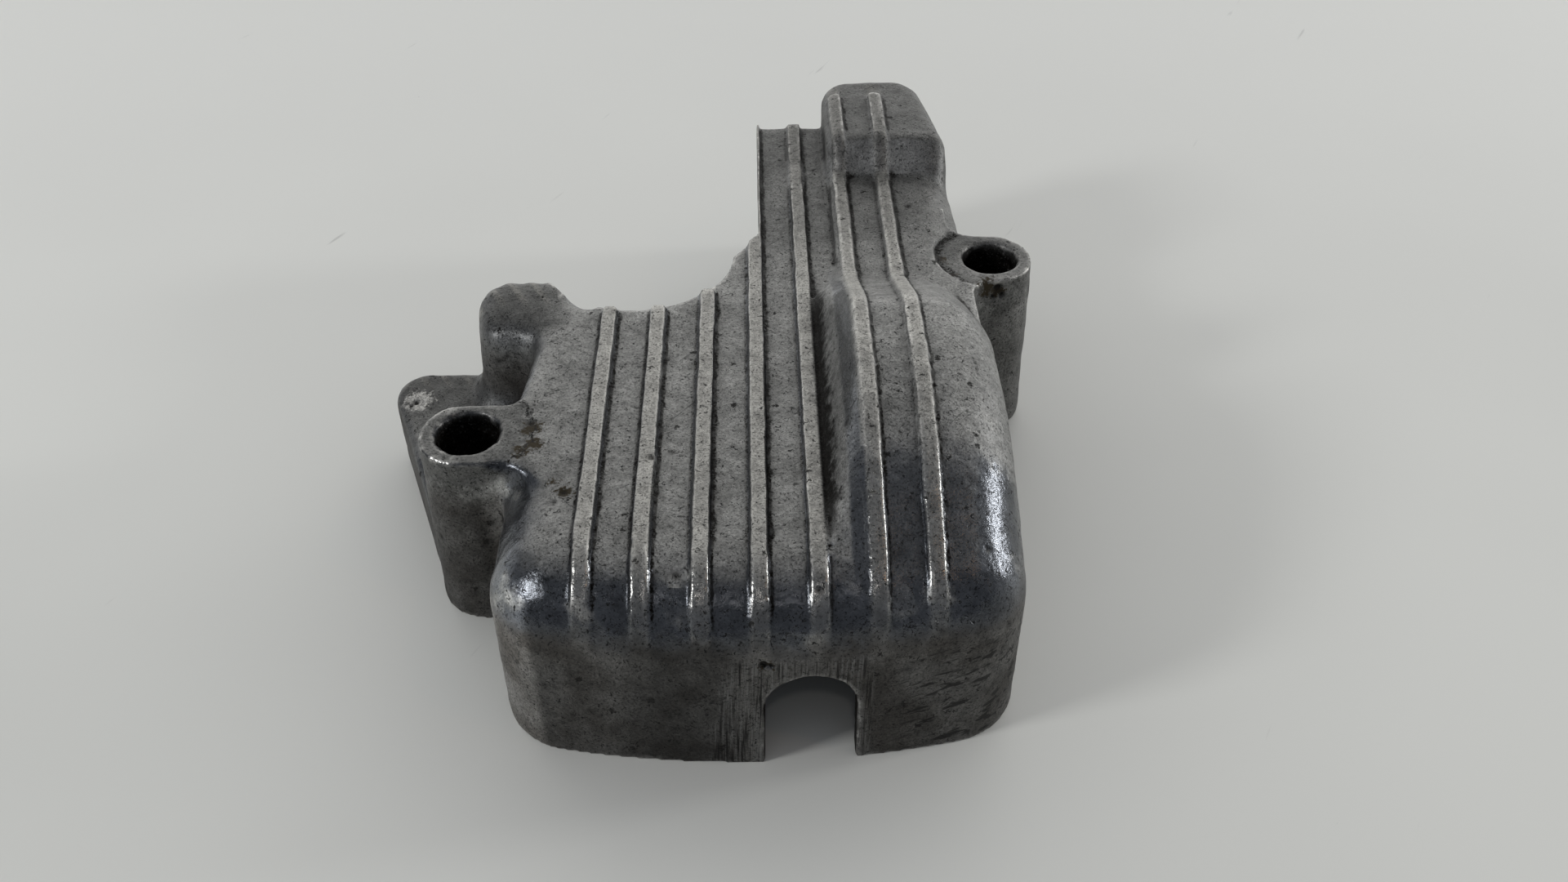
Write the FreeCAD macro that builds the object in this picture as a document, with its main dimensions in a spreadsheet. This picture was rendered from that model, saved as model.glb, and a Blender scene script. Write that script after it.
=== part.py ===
import FreeCAD, Part
import math
import os
import Sketcher

# Oil pump cover: one aluminium casting, open underneath, with seven cooling ribs.
# Frame in millimetres: origin on the axis of the left screw hole, in the mounting face,
# +X to the right, +Y towards the arm, +Z out of the ribbed top.

# Driving sizes: alias, value in millimetres (bow_sweep, crown_lean and dome_fall in degrees)
SIZES = [
    ("deck_height", 24.0),
    ("wall", 2.8),
    ("left_wall", 4.0),
    ("right_wall", 60.7),
    ("front_wall", -27.9),
    ("front_bow", 105.0),
    ("bow_middle", 32.2),
    ("bow_sweep", 90.0),
    ("edge_round", 8.5),
    ("rib_count", 7),
    ("rib_first", 14.4),
    ("rib_pitch", 6.0),
    ("rib_width", 1.8),
    ("rib_height", 0.7),
    ("rib_gap", 0.4),
    ("rib_round", 0.6),
    ("rib_end", 70.5),
    ("hole_radius", 3.55),
    ("hole_bevel", 0.4),
    ("boss_top_radius", 5.4),
    ("boss_foot_radius", 6.0),
    ("boss_web_round", 1.5),
    ("spot_radius", 7.4),
    ("spot_depth", 0.2),
    ("right_boss_height", 24.5),
    ("right_hole_across", 63.1),
    ("right_hole_along", 33.6),
    ("relief_across", 17.3),
    ("relief_along", 35.6),
    ("relief_radius", 12.3),
    ("shoulder_left", -2.9),
    ("shoulder_front", 19.5),
    ("shoulder_rear", 32.0),
    ("shoulder_round", 3.4),
    ("valley_left", 5.0),
    ("ear_height", 11.0),
    ("ear_rear", 28.6),
    ("ear_left", -16.6),
    ("ear_round", 1.5),
    ("ear_foot_round", 3.0),
    ("shoulder_corner", 4.2),
    ("arm_left", 33.0),
    ("arm_corner", 39.9),
    ("arm_corner_round", 2.5),
    ("arm_rear", 70.7),
    ("neck_left", 43.0),
    ("neck_height", 25.0),
    ("neck_right", 60.0),
    ("neck_round", 5.0),
    ("dome_left", 39.6),
    ("dome_flank", 3.6),
    ("dome_height", 31.7),
    ("dome_fall", 24.8),
    ("crown_lean", 28.0),
    ("crown_run", 20.24),
    ("crown_round", 42.0),
    ("dome_rear_round", 10.0),
    ("dome_foot_round", 8.0),
    ("end_left", 42.8),
    ("end_right", 57.2),
    ("end_rear", 76.8),
    ("end_height", 29.0),
    ("end_riser", 54.0),
    ("end_riser_run", 3.6),
    ("end_round", 2.2),
    ("end_corner", 4.5),
    ("web_round", 3.0),
    ("notch_middle", 37.55),
    ("notch_width", 9.7),
    ("notch_height", 13.6),
]

UP = FreeCAD.Vector(0, 0, 1)
TINY = 0.01

doc = FreeCAD.newDocument("oil_pump_cover")
sheet = doc.addObject("Spreadsheet::Sheet", "Sizes")
for row, (alias, size) in enumerate(SIZES, start=1):
    sheet.set("A%d" % row, alias)
    sheet.set("B%d" % row, str(size))
    sheet.setAlias("B%d" % row, alias)
doc.recompute()


def in_sheet(formula):
    """Write a formula's size names as cells of the sheet."""
    words = formula.split()
    return " ".join("Sizes." + word if word.isidentifier() else word for word in words)


def number(formula):
    """The value in millimetres of a formula of size names, with spaces between its words."""
    result = sheet.evalExpression(in_sheet(formula))
    return float(getattr(result, "Value", result))


def bind(thing, path, formula):
    """Tie one property of an object to a formula of size names."""
    thing.setExpression(path, in_sheet(formula))


def plane_of(body, role):
    return [plane for plane in body.Origin.OriginFeatures if plane.Role == role][0]


def new_body(name):
    return doc.addObject("PartDesign::Body", name)


def new_sketch(body, name, role, offset=None):
    """A sketch on one of the body's own origin planes, raised by a formula."""
    sketch = body.newObject("Sketcher::SketchObject", name)
    sketch.AttachmentSupport = [(plane_of(body, role), "")]
    sketch.MapMode = "FlatFace"
    if offset:
        bind(sketch, "AttachmentOffset.Base.z", offset)
    return sketch


def rounded_outline(sketch, corners):
    """Draw a closed, anticlockwise outline: each corner is (across, along, radius or None)."""
    places = [FreeCAD.Vector(number(across), number(along), 0) for across, along, _ in corners]
    count = len(corners)
    starts = list(places)
    ends = [places[(i + 1) % count] for i in range(count)]
    arcs = {}
    for i, (_, _, radius) in enumerate(corners):
        if radius is None:
            continue
        size = number(radius)
        back = (places[i - 1] - places[i]).normalize()
        ahead = (places[(i + 1) % count] - places[i]).normalize()
        half = back.getAngle(ahead) / 2
        first = places[i] + back * (size / math.tan(half))
        last = places[i] + ahead * (size / math.tan(half))
        centre = places[i] + (back + ahead).normalize() * (size / math.sin(half))
        outer_corner = ahead.cross(back).z > 0
        ends[i - 1] = first
        starts[i] = last
        arcs[i] = (centre, size, first, last, outer_corner)

    lines = [sketch.addGeometry(Part.LineSegment(starts[i], ends[i]), False) for i in range(count)]
    for i, (across, along, radius) in enumerate(corners):
        corner = sketch.addGeometry(Part.Point(places[i]), True)
        for kind, formula, size in (("DistanceX", across, places[i].x), ("DistanceY", along, places[i].y)):
            rule = sketch.addConstraint(Sketcher.Constraint(kind, -1, 1, corner, 1, size))
            bind(sketch, "Constraints[%d]" % rule, formula)
        before, after = lines[i - 1], lines[i]
        if i not in arcs:
            sketch.addConstraint(Sketcher.Constraint("Coincident", before, 2, corner, 1))
            sketch.addConstraint(Sketcher.Constraint("Coincident", corner, 1, after, 1))
            continue
        centre, size, first, last, outer_corner = arcs[i]
        start, stop = (first, last) if outer_corner else (last, first)
        angles = [math.atan2(end.y - centre.y, end.x - centre.x) for end in (start, stop)]
        circle = Part.Circle(centre, UP, size)
        arc = sketch.addGeometry(Part.ArcOfCircle(circle, angles[0], angles[1]), False)
        near, far = (1, 2) if outer_corner else (2, 1)
        sketch.addConstraint(Sketcher.Constraint("PointOnObject", corner, 1, before))
        sketch.addConstraint(Sketcher.Constraint("PointOnObject", corner, 1, after))
        sketch.addConstraint(Sketcher.Constraint("Tangent", before, 2, arc, near))
        sketch.addConstraint(Sketcher.Constraint("Tangent", arc, far, after, 1))
        rule = sketch.addConstraint(Sketcher.Constraint("Radius", arc, size))
        bind(sketch, "Constraints[%d]" % rule, radius)


def pad(body, name, corners, height):
    """Raise an outline in the mounting face to a height."""
    sketch = new_sketch(body, name + "_outline", "XY_Plane")
    rounded_outline(sketch, corners)
    feature = body.newObject("PartDesign::Pad", name)
    feature.Profile = sketch
    bind(feature, "Length", height)
    doc.recompute()
    return feature


def side_pocket(body, name, corners, reach):
    """Cut an outline of the side view through the body, both ways from X = 0."""
    sketch = new_sketch(body, name + "_outline", "YZ_Plane")
    rounded_outline(sketch, corners)
    feature = body.newObject("PartDesign::Pocket", name)
    feature.Profile = sketch
    feature.Midplane = True
    bind(feature, "Length", reach)
    doc.recompute()
    return feature


def front_pocket(body, name, corners, reach):
    """Cut an outline of the front view through the body, both ways from Y = 0."""
    sketch = new_sketch(body, name + "_outline", "XZ_Plane")
    rounded_outline(sketch, corners)
    feature = body.newObject("PartDesign::Pocket", name)
    feature.Profile = sketch
    feature.Midplane = True
    bind(feature, "Length", reach)
    doc.recompute()
    return feature


def top_pocket(body, name, corners, reach):
    """Cut an outline of the top view through the body, both ways from Z = 0."""
    sketch = new_sketch(body, name + "_outline", "XY_Plane")
    rounded_outline(sketch, corners)
    feature = body.newObject("PartDesign::Pocket", name)
    feature.Profile = sketch
    feature.Midplane = True
    bind(feature, "Length", reach)
    doc.recompute()
    return feature


def bowed(body, name, corners):
    """Turn a side view about the upright axis that gives the front wall its bow."""
    sketch = new_sketch(body, name + "_side_view", "YZ_Plane", "bow_middle")
    rounded_outline(sketch, corners)
    centre = number("front_wall + front_bow")
    ends = (FreeCAD.Vector(centre, 0, 0), FreeCAD.Vector(centre, number("deck_height"), 0))
    axis = sketch.addGeometry(Part.LineSegment(ends[0], ends[1]), True)
    for point, rise in ((1, "0 * deck_height"), (2, "deck_height")):
        for kind, formula in (("DistanceX", "front_wall + front_bow"), ("DistanceY", rise)):
            rule = sketch.addConstraint(Sketcher.Constraint(kind, -1, 1, axis, point, number(formula)))
            bind(sketch, "Constraints[%d]" % rule, formula)
    doc.recompute()
    feature = body.newObject("PartDesign::Revolution", name)
    feature.Profile = sketch
    feature.ReferenceAxis = (sketch, ["Axis0"])
    feature.Midplane = True
    bind(feature, "Angle", "bow_sweep")
    doc.recompute()
    return feature


def edges_where(feature, test):
    """Names of the feature's edges whose bounding box passes a test."""
    edges = enumerate(feature.Shape.Edges, start=1)
    return ["Edge%d" % i for i, edge in edges if test(edge.BoundBox)]


def round_edges(body, name, test, radius):
    """Fillet the edges of the body's last feature that pass a test."""
    base = body.Tip
    names = edges_where(base, test)
    feature = body.newObject("PartDesign::Fillet", name)
    feature.Base = (base, names)
    bind(feature, "Radius", radius)
    doc.recompute()
    return feature


def on_plane(low, high, place):
    return abs(low - place) < TINY and abs(high - place) < TINY


def side_chain(across, rear):
    """Test for the front, crown and top edges in one upright side plane, ahead of a rear end."""
    def test(box):
        in_plane = on_plane(box.XMin, box.XMax, across)
        return in_plane and box.ZMax > 1 and box.YMin < rear - TINY
    return test


BELOW = "0 - 5"
ABOVE = "2 * end_height"
LEFT_OUT = "0 - 3 * right_wall"
RIGHT_OUT = "3 * right_wall"
FRONT_OUT = "2 * front_wall"


def trim_sides(body, name, left, right):
    """Cut a bowed form off at two upright side planes."""
    front_pocket(body, name + "_left_side", [
        (LEFT_OUT, BELOW, None), (left, BELOW, None),
        (left, ABOVE, None), (LEFT_OUT, ABOVE, None)], "4 * right_wall")
    front_pocket(body, name + "_right_side", [
        (right, BELOW, None), (RIGHT_OUT, BELOW, None),
        (RIGHT_OUT, ABOVE, None), (right, ABOVE, None)], "4 * right_wall")


# Front of the cover: bowed front wall, rounded over into the flat deck and the left wall
front = new_body("front")
bowed(front, "front_wall_and_deck", [
    ("front_wall", "0", None), ("0", "0", None), ("0", "deck_height", None),
    ("front_wall", "deck_height", "edge_round")])
trim_sides(front, "front", "left_wall", "dome_left + dome_flank")
round_edges(front, "front_left_round", side_chain(number("left_wall"), 0), "edge_round")

# Dome on the right: its crown falls in a long curve to the front wall and in a slope to the neck.
# At its foot the crown shares the deck's edge round.
CROWN_FOOT = "( deck_height - edge_round + edge_round * tan( 45 - crown_lean / 2 ) )"
CROWN_BREAK = "front_wall + ( dome_height - %s ) / tan( crown_lean )" % CROWN_FOOT
DOME_REAR = CROWN_BREAK + " + crown_run"
DOME_FOOT = DOME_REAR + " + ( dome_height - neck_height ) / tan( dome_fall )"
NECK_START = DOME_FOOT + " + edge_round / 2"
dome = new_body("dome")
bowed(dome, "dome_crown", [
    ("front_wall", "0", None), (NECK_START + " + wall", "0", None),
    (NECK_START + " + wall", "dome_height", None),
    (CROWN_BREAK, "dome_height", "crown_round"), ("front_wall", CROWN_FOOT, "edge_round")])
side_pocket(dome, "dome_rear_slope", [
    (NECK_START, BELOW, None), ("end_rear", BELOW, None), ("end_rear", ABOVE, None),
    ("0", ABOVE, None), ("0", "dome_height", None), (DOME_REAR, "dome_height", "dome_rear_round"),
    (DOME_FOOT, "neck_height", "dome_foot_round"), (NECK_START, "neck_height", None)], "4 * right_wall")
front_pocket(dome, "dome_left_flank", [
    (LEFT_OUT, BELOW, None), ("dome_left", BELOW, None), ("dome_left", "deck_height", None),
    ("dome_left + dome_flank", "dome_height", None), ("dome_left + dome_flank", ABOVE, None),
    (LEFT_OUT, ABOVE, None)], "4 * right_wall")
front_pocket(dome, "dome_right_side", [
    ("right_wall", BELOW, None), (RIGHT_OUT, BELOW, None),
    (RIGHT_OUT, ABOVE, None), ("right_wall", ABOVE, None)], "4 * right_wall")
top_pocket(dome, "dome_foot_corner", [
    ("0", DOME_FOOT + " - dome_flank", None), ("dome_left", DOME_FOOT + " - dome_flank", None),
    ("neck_left", DOME_FOOT + " + wall / 2", None), ("neck_left", "end_rear", None),
    ("0", "end_rear", None)], "4 * right_wall")
round_edges(dome, "dome_right_round", side_chain(number("right_wall"), number(NECK_START)), "edge_round")

# Flat deck behind the front: pad of the left boss, edge of the valley and the arm's ledge
deck = new_body("deck")
pad(deck, "deck_pad", [
    ("0", "0 - boss_top_radius", None),
    ("valley_left", "0 - boss_top_radius", "boss_web_round"),
    ("left_wall + edge_round", "front_wall + 2 * edge_round", None),
    ("dome_left + dome_flank", "front_wall + 2 * edge_round", None),
    ("dome_left + dome_flank", "arm_rear", None),
    ("arm_left", "arm_rear", None),
    ("arm_left", "arm_corner", "arm_corner_round"),
    ("relief_across + 0.85 * relief_radius", "relief_along - 0.25 * relief_radius", None),
    ("relief_across", "relief_along", None),
    ("relief_across - 0.7 * relief_radius", "relief_along - 0.6 * relief_radius", None),
    ("valley_left", "relief_along - 0.6 * relief_radius", None),
    ("valley_left", "boss_top_radius", "boss_web_round"),
    ("0", "boss_top_radius", None)], "deck_height")

# Shoulder at the rear left, rounded over on its open sides, with a round at its foot
shoulder = new_body("shoulder")
pad(shoulder, "shoulder_pad", [
    ("relief_across", "shoulder_front", None), ("relief_across", "shoulder_rear", None),
    ("shoulder_left", "shoulder_rear", "shoulder_corner"),
    ("shoulder_left", "shoulder_front", "shoulder_corner")], "deck_height")
round_edges(shoulder, "shoulder_round", lambda box: box.ZMin > 1
            and box.XMin < number("relief_across") - TINY, "shoulder_round")
SKIRT_LEFT = "shoulder_left - ear_foot_round - ear_round"
SKIRT_FRONT = "shoulder_front - ear_foot_round - ear_round"
pad(shoulder, "shoulder_skirt", [
    (SKIRT_LEFT, SKIRT_FRONT, None), ("valley_left + wall", SKIRT_FRONT, None),
    ("valley_left + wall", "ear_rear - ear_round", None),
    (SKIRT_LEFT, "ear_rear - ear_round", None)], "ear_height")
round_edges(shoulder, "ear_foot_round", lambda box: on_plane(box.ZMin, box.ZMax, number("ear_height"))
            and box.XMin > number("shoulder_left") - TINY and box.YMin > number("shoulder_front") - TINY,
            "ear_foot_round")

# Low ear beside the left boss
ear = new_body("ear")
pad(ear, "ear_pad", [
    ("0", "0", None), ("valley_left + wall", "0", None), ("valley_left + wall", "ear_rear", None),
    ("ear_left", "ear_rear", "shoulder_corner"),
    ("0 - boss_foot_radius", "0", None)], "ear_height")
round_edges(ear, "ear_round", lambda box: box.ZMin > 1 and box.XMin < 0 - number("boss_foot_radius") - TINY,
            "ear_round")

# Neck of the arm and its raised end, which starts with a sloping riser
neck = new_body("neck")
pad(neck, "neck_pad", [
    ("neck_left", "0", None), ("right_wall", "0", None),
    ("right_wall", "right_hole_along + boss_foot_radius", None),
    ("neck_right", "end_riser + 2 * end_riser_run", None),
    ("neck_left", "end_riser + 2 * end_riser_run", None)], "neck_height")
round_edges(neck, "neck_round", lambda box: box.ZMin > 1 and box.XMin > number("neck_right") - TINY,
            "neck_round")
raised_end = new_body("raised_end")
pad(raised_end, "end_pad", [
    ("end_left", "end_riser - neck_height", None), ("neck_right", "end_riser - neck_height", None),
    ("neck_right", "end_riser + end_riser_run", None), ("end_right", "end_rear", "end_corner"),
    ("end_left", "end_rear", "end_corner")], "end_height")
riser_lean = "end_riser_run / ( end_height - neck_height )"
side_pocket(raised_end, "end_riser_face", [
    ("front_wall", BELOW, None), ("end_riser - ( neck_height + 5 ) * " + riser_lean, BELOW, None),
    ("end_riser + ( 2 * end_height - neck_height ) * " + riser_lean, ABOVE, None),
    ("front_wall", ABOVE, None)], "4 * right_wall")

round_edges(raised_end, "end_round", lambda box: box.ZMax > number("end_height") - TINY
            and box.DiagonalLength > number("end_height - neck_height"), "end_round")

# Web that joins the right boss to the side of the dome and the neck
web = new_body("right_web")
pad(web, "web_pad", [
    ("neck_left", "0", None), ("neck_right", "0", None),
    ("neck_right", "right_hole_along - boss_foot_radius", "web_round"),
    ("right_hole_across", "right_hole_along - boss_top_radius", None),
    ("right_hole_across", "right_hole_along + boss_top_radius", None),
    ("neck_right - neck_round / 3", "right_hole_along + boss_foot_radius", "web_round"),
    ("neck_right - neck_round / 3", "right_hole_along + 2 * boss_foot_radius", None),
    ("neck_left", "right_hole_along + 2 * boss_foot_radius", None)], "right_boss_height")


def place(thing, across, along, height="0"):
    bind(thing, "Placement.Base.x", across)
    bind(thing, "Placement.Base.y", along)
    bind(thing, "Placement.Base.z", height)
    return thing


def cylinder(name, radius, tall, across, along, height="0"):
    thing = doc.addObject("Part::Cylinder", name)
    bind(thing, "Radius", radius)
    bind(thing, "Height", tall)
    return place(thing, across, along, height)


def cone(name, low_radius, high_radius, tall, across, along, height="0"):
    thing = doc.addObject("Part::Cone", name)
    bind(thing, "Radius1", low_radius)
    bind(thing, "Radius2", high_radius)
    bind(thing, "Height", tall)
    return place(thing, across, along, height)


def fuse(name, things):
    whole = doc.addObject("Part::MultiFuse", name)
    whole.Shapes = things
    whole.Refine = True
    doc.recompute()
    return whole


def cut(name, base, tool):
    whole = doc.addObject("Part::Cut", name)
    whole.Base = base
    whole.Tool = tool
    whole.Refine = True
    doc.recompute()
    return whole


SCREWS = [
    ("left", "0", "0", "deck_height"),
    ("right", "right_hole_across", "right_hole_along", "right_boss_height")]
bosses = [cone(side + "_boss", "boss_foot_radius", "boss_top_radius", tall, across, along)
          for side, across, along, tall in SCREWS]
spots = [cylinder(side + "_spot_face", "spot_radius", "deck_height", across, along, tall + " - spot_depth")
         for side, across, along, tall in SCREWS]
relief = cylinder("round_relief", "relief_radius", ABOVE, "relief_across", "relief_along", BELOW)

outside = fuse("outside", [front, dome, deck, shoulder, ear, neck, raised_end, web] + bosses)
block = cut("block", outside, fuse("relief_and_spot_faces", [relief] + spots))

# Ribs: the block's own surface lifted by the rib height, so each rib dies out where the wall is upright
lifted = doc.addObject("Part::Compound", "lifted_block")
lifted.Links = [block]
bind(lifted, "Placement.Base.z", "rib_height")
doc.recompute()
arm_rib = 4
end_rib = 6
ribs = []
for count in range(1, int(number("rib_count")) + 1):
    middle = "rib_first + %d * rib_pitch" % (count - 1)
    if count < arm_rib:
        rear = "relief_along - sqrt( relief_radius ^ 2 - ( %s - relief_across ) ^ 2 ) - rib_gap" % middle
    elif count < end_rib:
        rear = "arm_rear + rib_width"
    else:
        rear = "rib_end"
    strip = new_body("rib_%d_strip" % count)
    left_side = middle + " - rib_width / 2"
    right_side = middle + " + rib_width / 2"
    pad(strip, "rib_%d_pad" % count, [
        (left_side, FRONT_OUT, None), (right_side, FRONT_OUT, None),
        (right_side, rear, "rib_round"), (left_side, rear, "rib_round")], ABOVE)
    rib = doc.addObject("Part::MultiCommon", "rib_%d" % count)
    rib.Shapes = [lifted, strip]
    ribs.append(rib)
doc.recompute()
ribbed = fuse("ribbed_block", [block] + ribs)

# Hollow inside, one wall thickness in from the outside and open underneath
INNER_ROUND = "edge_round - wall"
inner_front = new_body("inner_front")
bowed(inner_front, "inner_front_wall", [
    ("front_wall + wall", BELOW, None), ("0", BELOW, None), ("0", "deck_height - wall", None),
    ("front_wall + wall", "deck_height - wall", INNER_ROUND)])
trim_sides(inner_front, "inner_front", "left_wall + wall", "dome_left + dome_flank + 2 * wall")
round_edges(inner_front, "inner_left_round", side_chain(number("left_wall + wall"), 0), INNER_ROUND)

INNER_FOOT = "( deck_height - edge_round + ( edge_round - wall ) * tan( 45 - crown_lean / 2 ) )"
INNER_BREAK = "front_wall + wall + ( dome_height - wall - %s ) / tan( crown_lean )" % INNER_FOOT
inner_dome = new_body("inner_dome")
bowed(inner_dome, "inner_crown", [
    ("front_wall + wall", BELOW, None), (NECK_START + " + wall", BELOW, None),
    (NECK_START + " + wall", "dome_height - wall", None), (INNER_BREAK, "dome_height - wall", "crown_round"),
    ("front_wall + wall", INNER_FOOT, INNER_ROUND)])
side_pocket(inner_dome, "inner_rear_slope", [
    (NECK_START, "3 * " + BELOW, None), ("end_rear", "3 * " + BELOW, None), ("end_rear", ABOVE, None),
    ("0", ABOVE, None), ("0", "dome_height - wall", None),
    (DOME_REAR + " - wall / 4", "dome_height - wall", "dome_rear_round"),
    (DOME_FOOT + " - wall / 4", "neck_height - wall", "dome_foot_round"),
    (NECK_START, "neck_height - wall", None)], "4 * right_wall")
front_pocket(inner_dome, "inner_left_flank", [
    (LEFT_OUT, "3 * " + BELOW, None), ("dome_left + wall", "3 * " + BELOW, None),
    ("dome_left + wall", "deck_height - wall", None),
    ("dome_left + dome_flank + 1.1 * wall", "dome_height - wall", None),
    ("dome_left + dome_flank + 1.1 * wall", ABOVE, None), (LEFT_OUT, ABOVE, None)], "4 * right_wall")
front_pocket(inner_dome, "inner_right_side", [
    ("right_wall - wall", "3 * " + BELOW, None), (RIGHT_OUT, "3 * " + BELOW, None),
    (RIGHT_OUT, ABOVE, None), ("right_wall - wall", ABOVE, None)], "4 * right_wall")
round_edges(inner_dome, "inner_right_round", side_chain(number("right_wall - wall"), number(NECK_START)),
            INNER_ROUND)

inner_deck = new_body("inner_deck")
pad(inner_deck, "inner_deck_pad", [
    ("valley_left + wall", "wall - boss_top_radius", None),
    ("left_wall + edge_round + wall", "front_wall + 2 * edge_round + wall", None),
    ("neck_left + 2 * wall", "front_wall + 2 * edge_round + wall", None),
    ("neck_left + 2 * wall", "arm_rear - wall", None),
    ("arm_left + wall", "arm_rear - wall", None),
    ("arm_left + wall", "relief_along", None),
    ("valley_left + wall", "relief_along", None)], "deck_height - wall")
inner_shoulder = new_body("inner_shoulder")
pad(inner_shoulder, "inner_shoulder_pad", [
    ("relief_across", "shoulder_front + wall", None), ("relief_across", "shoulder_rear - wall", None),
    ("shoulder_left + wall", "shoulder_rear - wall", None),
    ("shoulder_left + wall", "shoulder_front + wall", None)], "deck_height - wall")
inner_ear = new_body("inner_ear")
pad(inner_ear, "inner_ear_pad", [
    ("0 - boss_foot_radius", "boss_foot_radius + wall", None),
    ("valley_left + 2 * wall", "boss_foot_radius + wall", None),
    ("valley_left + 2 * wall", "ear_rear - wall", None),
    ("ear_left + 1.4 * wall", "ear_rear - wall", None)], "ear_height - wall")
inner_neck = new_body("inner_neck")
pad(inner_neck, "inner_neck_pad", [
    ("end_left + wall", "0", None), ("neck_right - wall", "0", None),
    ("neck_right - wall", "end_riser + end_riser_run", None), ("end_right - wall", "end_rear - wall", None),
    ("end_left + wall", "end_rear - wall", None)], "neck_height - wall")
inner_end = new_body("inner_end")
pad(inner_end, "inner_end_pad", [
    ("end_left + wall", "end_riser + end_riser_run + wall / 2", None),
    ("neck_right - wall - end_riser_run / 2", "end_riser + end_riser_run + wall / 2", None),
    ("end_right - wall", "end_rear - wall", None),
    ("end_left + wall", "end_rear - wall", None)], "end_height - wall")
relief_wall = cylinder("relief_wall", "relief_radius + wall", ABOVE, "relief_across", "relief_along", BELOW)
whole_hollow = fuse("whole_hollow", [
    inner_front, inner_dome, inner_deck, inner_shoulder, inner_ear, inner_neck, inner_end])
hollow = cut("hollow", whole_hollow, relief_wall)

# Notch in the front wall, round at its top, and the two screw holes with their rim bevels
notch_foot = doc.addObject("Part::Box", "notch_foot")
bind(notch_foot, "Length", "notch_width")
bind(notch_foot, "Width", "4 * wall")
bind(notch_foot, "Height", "notch_height - notch_width / 2")
place(notch_foot, "notch_middle - notch_width / 2", "front_wall - 2 * wall")
notch_top = cylinder("notch_top", "notch_width / 2", "4 * wall", "notch_middle", "front_wall + 2 * wall",
                     "notch_height - notch_width / 2")
notch_top.Placement.Rotation = FreeCAD.Rotation(FreeCAD.Vector(1, 0, 0), 90)
holes = [cylinder(side + "_screw_hole", "hole_radius", tall + " + wall", across, along)
         for side, across, along, tall in SCREWS]
bevels = [cone(side + "_hole_bevel", "hole_radius", "hole_radius + hole_bevel", "hole_bevel", across, along,
               tall + " - spot_depth - hole_bevel")
          for side, across, along, tall in SCREWS]
inside = fuse("hollow_notch_and_holes", [hollow, notch_foot, notch_top] + holes + bevels)
cover = cut("pump_cover", ribbed, inside)

for form in doc.Objects:
    if "Invalid" in form.State or "Error" in form.State:
        raise RuntimeError("%s did not build: %s" % (form.Name, form.State))
if cover.Shape.isNull() or not cover.Shape.isValid() or len(cover.Shape.Solids) != 1:
    raise RuntimeError("the cover is not one valid solid")
cover.Label = "pump_cover"
os.makedirs("parts", exist_ok=True)
cover.Shape.exportStep("parts/pump_cover.step")
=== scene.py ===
import bpy
import math
import numpy as np
from bpy.props import FloatProperty, FloatVectorProperty, IntProperty, PointerProperty
from mathutils import Matrix, Vector
from mathutils.bvhtree import BVHTree


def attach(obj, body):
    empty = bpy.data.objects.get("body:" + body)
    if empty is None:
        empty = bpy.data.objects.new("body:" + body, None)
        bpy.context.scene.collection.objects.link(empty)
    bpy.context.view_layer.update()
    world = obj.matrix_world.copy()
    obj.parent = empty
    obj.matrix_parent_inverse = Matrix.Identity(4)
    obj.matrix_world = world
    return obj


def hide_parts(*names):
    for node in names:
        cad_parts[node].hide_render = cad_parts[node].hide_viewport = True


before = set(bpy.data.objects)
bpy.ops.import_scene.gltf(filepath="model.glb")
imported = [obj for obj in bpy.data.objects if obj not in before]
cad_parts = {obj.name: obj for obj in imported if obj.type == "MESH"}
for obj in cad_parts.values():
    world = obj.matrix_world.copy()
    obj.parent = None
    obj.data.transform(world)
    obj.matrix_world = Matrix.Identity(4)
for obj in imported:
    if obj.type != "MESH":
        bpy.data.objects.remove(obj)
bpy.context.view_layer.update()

bl_info = {
    "name": "Oil pump cover",
    "version": (1, 0, 0),
    "blender": (4, 5, 0),
    "location": "View3D > Sidebar > Pump cover",
    "description": "Finishes the cast oil pump cover and sets the studio around it",
    "category": "Object",
}

MM = 0.001

# Places and sizes on the cover, in millimetres
LEFT_HOLE = (0.0, 0.0)
RIGHT_HOLE = (63.1, 33.6)
PAD_HEIGHT = 24.2
BORE_REACH = 4.0
FIRST_RIB, RIB_PITCH, RIB_COUNT, RIB_HALF_WIDTH = 14.4, 6.0, 7, 0.9
RIB_FOOT_HEIGHT, RIB_END = 15.0, 74.5
BURR, BURR_SIZE, BURR_HEIGHT = (32.9, 71.6, 24.0), (0.55, 0.55, 0.9), 1.1
RIDGE_TURN, RIDGE_PITCH, RIDGE_HEIGHT = (0.88, 0.47), 2.5, 0.07
EAR_SCRAPE = (-11.4, 22.2, 11.0)
DENT_SEED = 11

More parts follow.
